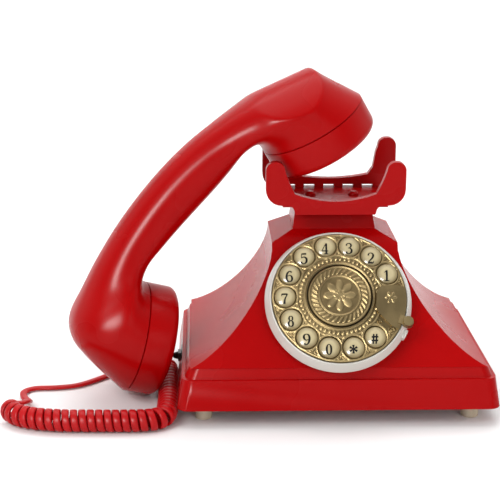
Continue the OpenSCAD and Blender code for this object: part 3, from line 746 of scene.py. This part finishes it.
def medallion_ornament(x, y):
    """A wreath of slanted leaves round a flower of eight petals."""
    r, a = np.hypot(x, y), np.arctan2(y, x)
    rims = 0.9 * ridge(r, 17.4, 0.5) + 0.8 * ridge(r, 11.7, 0.4)
    leaf = (0.5 + 0.5 * np.cos(32 * a + 1.5 * (r - 14.5))) ** 1.4
    wreath = leaf * smoothstep(12.4, 13.4, r) * smoothstep(16.7, 15.7, r)
    lobe = np.abs(np.cos(4 * a))
    edge = 6.2 + 3.6 * lobe
    petals = smoothstep(edge, edge - 1.1, r) * (0.35 + 0.6 * lobe - 0.04 * r)
    heart = ridge(r, 0, 1.6) + 0.5 * ridge(r, 2.7, 0.5)
    return np.clip(rims + 0.9 * wreath + petals + heart, 0, 1)


def flower_ornament(x, y):
    """A small flower of six petals."""
    r, a = np.hypot(x, y), np.arctan2(y, x)
    lobe = np.abs(np.cos(3 * a))
    return np.clip(smoothstep(2.2 + 1.8 * lobe, 1.2 + 1.8 * lobe, r) * (0.3 + 0.6 * lobe)
                   + ridge(r, 0, 0.9), 0, 1)


def dial_plate(paint):
    """The domed plate with its ornament, a skirt at its rim and a hole for every key."""
    skirt_low = PLATE_H - 3.2
    outline = [(r, dome(r), ORNAMENT) for r in np.linspace(PLATE_HOLE_R, PLATE_R, 76)]
    outline += [(PLATE_R, skirt_low), (PLATE_R - 0.6, skirt_low)]
    outline += [(r, dome(r) - PLATE_T) for r in np.linspace(PLATE_R - 0.6, PLATE_HOLE_R, 12)]
    plate = lathe("dial_plate_chased", outline, DIAL, paint, sides=720, lift=plate_ornament)
    cut(plate, pins(KEY_SPOTS, KEY_HOLE_R, 5, 20, DIAL, paint, sides=48))
    finish_mesh(plate, 40)
    mark_relief_and_shade(plate, DIAL, plate_ornament)
    return stand_for(plate, "dial_plate")


def medallion(paint):
    """The middle disc, a little above the plate round it."""
    low = dome(14) - 2.18
    outline = [(0, low), (MEDALLION_R, low), (MEDALLION_R, low + 1.8)]
    outline += [(r, low + 2.2 + 0.9 * (1 - (r / MEDALLION_R) ** 2), ORNAMENT)
                for r in np.linspace(MEDALLION_R - 0.35, 0, 76)]
    disc = lathe("medallion_chased", outline, DIAL, paint, sides=480, lift=medallion_ornament)
    mark_relief_and_shade(disc, DIAL, medallion_ornament)
    return stand_for(disc, "medallion")


def finger_stop(paint):
    """The leaf with its boss, and a small flower in low relief on it."""
    leaf = softened("finger_stop", 0.4, paint)
    mark_relief_and_shade(leaf, DIAL, lambda x, y: 0.5)
    x0, y0 = STOP_FLOWER_AT
    leaf_top, under = 1.35, -0.6

    def on_leaf(x, y):
        return dome(np.hypot(x + x0, y + y0)) + leaf_top + 0.5 * flower_ornament(x, y)

    outline = [(r, 0, 1) for r in np.linspace(0, STOP_FLOWER_R, 24)]
    outline += [(STOP_FLOWER_R, under, 1), (0, under, 1)]
    place = DIAL @ shift(x0, y0, 0)
    flower = lathe("stop_flower", outline, place, paint, sides=96, lift=on_leaf)
    mark_relief_and_shade(flower, place, lambda x, y: 0.5 + 0.6 * (flower_ornament(x, y) - 0.3))
    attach(flower, "root")


def dial_bezel(paint):
    """The white ring round the plate, with its lug below the finger stop."""
    corners = [(39.6, -1.5), (40.6, -1.5), (40.6, 3.4), (42.2, 4.2), (42.6, 5.2), (39.8, 12.2),
               (38.9, 12.2), (38.9, 9.35), (38, 9.35), (38, 7), (38.8, 6), (38.8, -6), (39.6, -6)]
    ring = lathe("dial_bezel_turned", fillet(corners, 0.7), DIAL, paint, sides=220, sharp=45)
    stand_for(ring, "dial_bezel")
    place = DIAL @ turn("Z", LUG_ANGLE)
    inner, outer, half = 39.2, 43.6, 2.8
    rings = [[(x, y, z) for x, y in fillet([(inner, -half + t), (outer - t, -half + t),
                                            (outer - t, half - t), (inner, half - t)], 1.2)]
             for t, z in ((0, 3.3), (0, 7.4), (0.2, 7.9), (0.7, 8.2))]
    lug = loft("bezel_lug", rings, place, paint, sharp=50)
    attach(lug, "root")


# ---------------------------------------------------------------- the keys
# Each stroke is a list of x, y and width, in units of a tenth of the figure's height. One with
# more than two points is a smooth curve through them.
def ring_stroke(x, y, rx, ry, thick, thin):
    """An oval stroke, thick at its sides and thin above and below."""
    return [(x + rx * math.cos(a), y + ry * math.sin(a),
             thin + (thick - thin) * abs(math.cos(a)) ** 1.5)
            for a in (math.radians(18 * k) for k in range(21))]


SIX = [[(1.9, 8.4, 1.6), (1.1, 9.6, 0.9), (-0.6, 9.2, 1.1), (-2.1, 7, 1.6), (-2.6, 4, 1.9),
        (-1.8, 1.2, 1.5), (0.1, 0.3, 0.7), (1.9, 1.2, 1.4), (2.4, 3.2, 1.8), (1.6, 5.1, 1.3),
        (0, 5.8, 0.7), (-1.9, 4.8, 0.7)]]
GLYPHS = {
    "1": [[(-1.9, 7.8, 0.5), (0, 9.5, 0.9)], [(0.2, 9.9, 1.8), (0.2, 0.3, 1.8)],
          [(-2, 0.3, 0.7), (2.4, 0.3, 0.7)]],
    "2": [[(-2.1, 7.3, 1.7), (-1.6, 9, 1), (0.1, 9.7, 0.7), (1.9, 8.8, 1.3), (2.3, 7, 1.8),
           (1.3, 4.8, 1.5), (-0.8, 2.7, 1), (-2.3, 0.8, 0.7)],
          [(-2.3, 0.6, 1.2), (0, 0.8, 1.5), (1.6, 0.5, 1.2), (2.5, 1.2, 0.7), (2.7, 2.3, 0.5)]],
    "3": [[(-2.1, 7.7, 1.6), (-1.4, 9.2, 0.9), (0.2, 9.7, 0.7), (1.9, 8.8, 1.4), (2, 7, 1.6),
           (0.9, 5.6, 0.9), (-0.6, 5.2, 0.6)],
          [(-0.6, 5.3, 0.6), (1.2, 5, 0.9), (2.5, 3.6, 1.7), (2.3, 1.7, 1.7), (0.6, 0.4, 0.8),
           (-1.3, 0.6, 0.9), (-2.3, 2.1, 1.7)]],
    "4": [[(1, 9.7, 0.7), (-2.8, 3, 0.7)], [(-2.9, 2.8, 0.9), (3, 2.8, 0.9)],
          [(1.2, 9.9, 1.7), (1.2, 0.3, 1.7)], [(-0.6, 0.3, 0.7), (2.9, 0.3, 0.7)]],
    "5": [[(-1.9, 9.2, 1.3), (2.3, 9.3, 1.5)], [(-1.9, 9.5, 0.6), (-2.1, 5.1, 0.6)],
          [(-2.1, 5.2, 0.6), (-0.8, 6.1, 0.8), (0.8, 6.1, 1), (2.4, 4.6, 1.8), (2.3, 2, 1.8),
           (0.6, 0.4, 0.8), (-1.3, 0.6, 0.9), (-2.3, 2, 1.7)]],
    "6": SIX,
    "7": [[(-2.6, 9.1, 1.5), (2.6, 9.1, 1.4)], [(-2.6, 9.6, 0.6), (-2.7, 7.3, 0.6)],
          [(2.5, 9, 0.9), (0.9, 6.2, 1.1), (-0.1, 3.2, 1.6), (-0.3, 0.3, 2)]],
    "8": [ring_stroke(0, 7.5, 1.6, 2.1, 1.4, 0.6), ring_stroke(0, 2.8, 2, 2.5, 1.7, 0.6)],
    "9": [[(-x, 10 - y, w) for x, y, w in SIX[0]]],
    "0": [ring_stroke(0, 5, 2, 4.6, 1.8, 0.6)],
    "star": [[(0, 5, 0.7), (1.9 * math.cos(a), 5 + 1.9 * math.sin(a), 1.4),
              (3.8 * math.cos(a), 5 + 3.8 * math.sin(a), 2.1)]
             for a in (math.radians(30 + 60 * k) for k in range(6))],
    "hash": [[(-1.7, 0.6, 1.4), (-0.9, 9.4, 1.4)], [(0.9, 0.6, 1.4), (1.7, 9.4, 1.4)],
             [(-3.1, 3.4, 1.4), (2.8, 3.4, 1.4)], [(-2.8, 6.7, 1.4), (3.1, 6.7, 1.4)]]}
GLYPH_UNIT = 0.64
GLYPH_AT = (-0.5, -4.7)


def key_top(x, y):
    """Height of a key's dome at a point off its own middle."""
    return dome(KEY_RING) + 1.9 - 1.5 * (x ** 2 + y ** 2) / KEY_R ** 2


def glyph(name, strokes, place, material):
    """A figure in thick and thin strokes, a shade proud of the key's dome."""
    points, faces = [], []
    for level, stroke in enumerate(strokes):
        line = catmull(stroke, 6 if len(stroke) > 2 else 4)
        middle = line[:, :2] * GLYPH_UNIT + np.array(GLYPH_AT)
        along = unit(np.gradient(middle, axis=0))
        across = np.column_stack([-along[:, 1], along[:, 0]]) * line[:, 2:] * GLYPH_UNIT / 2
        start = len(points)
        high, low = 0.1 + 0.012 * level, -0.1
        for left, right in zip(middle + across, middle - across):
            points += [(x, y, key_top(x, y) + z) for (x, y), z in
                       ((left, high), (right, high), (right, low), (left, low))]
        last = len(points) - 4
        faces += [(r + k, r + (k + 1) % 4, r + 4 + (k + 1) % 4, r + 4 + k)
                  for r in range(start, last, 4) for k in range(4)]
        faces += [(start + 3, start + 2, start + 1, start), (last, last + 1, last + 2, last + 3)]
    return piece(name, points, faces, place, material)


def dial_key(name, spot, paint, ink):
    """A domed key with a flange below the plate, and the figure on top of it."""
    place = DIAL @ shift(*spot, 0)
    under, rim = dome(KEY_RING) - PLATE_T, key_top(KEY_R, 0)
    flange_r, stem_r, stem_low = 6.7, 3, 7.6
    outline = [(0, stem_low), (stem_r, stem_low), (flange_r, under - 2.1), (flange_r, under - 1.25),
               (KEY_R, under - 1.25), (KEY_R, rim - 0.5), (KEY_R - 0.12, rim - 0.2)]
    outline += [(r, key_top(r, 0)) for r in np.linspace(KEY_R - 0.4, 0, 12)]
    key = lathe("key_" + name + "_domed", outline, place, paint, sides=72, sharp=50)
    # A painted shade value on the key, full in the middle and falling off to the rim, kept in the
    # relief attribute.
    mark_relief_and_shade(key, place, lambda u, v: 1.15 - np.hypot(u, v) / KEY_R)
    stand_for(key, "key_" + name)
    figure = glyph("figure_" + name, GLYPHS[name], place, ink)
    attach(figure, "key_" + name + "_body")


dial_plate(paints["gold"])
medallion(paints["gold"])
finger_stop(paints["gold"])
dial_bezel(paints["white"])
for key_name, key_at in zip(KEY_NAMES, KEY_SPOTS):
    dial_key(key_name, key_at, paints["cream"], paints["ink"])
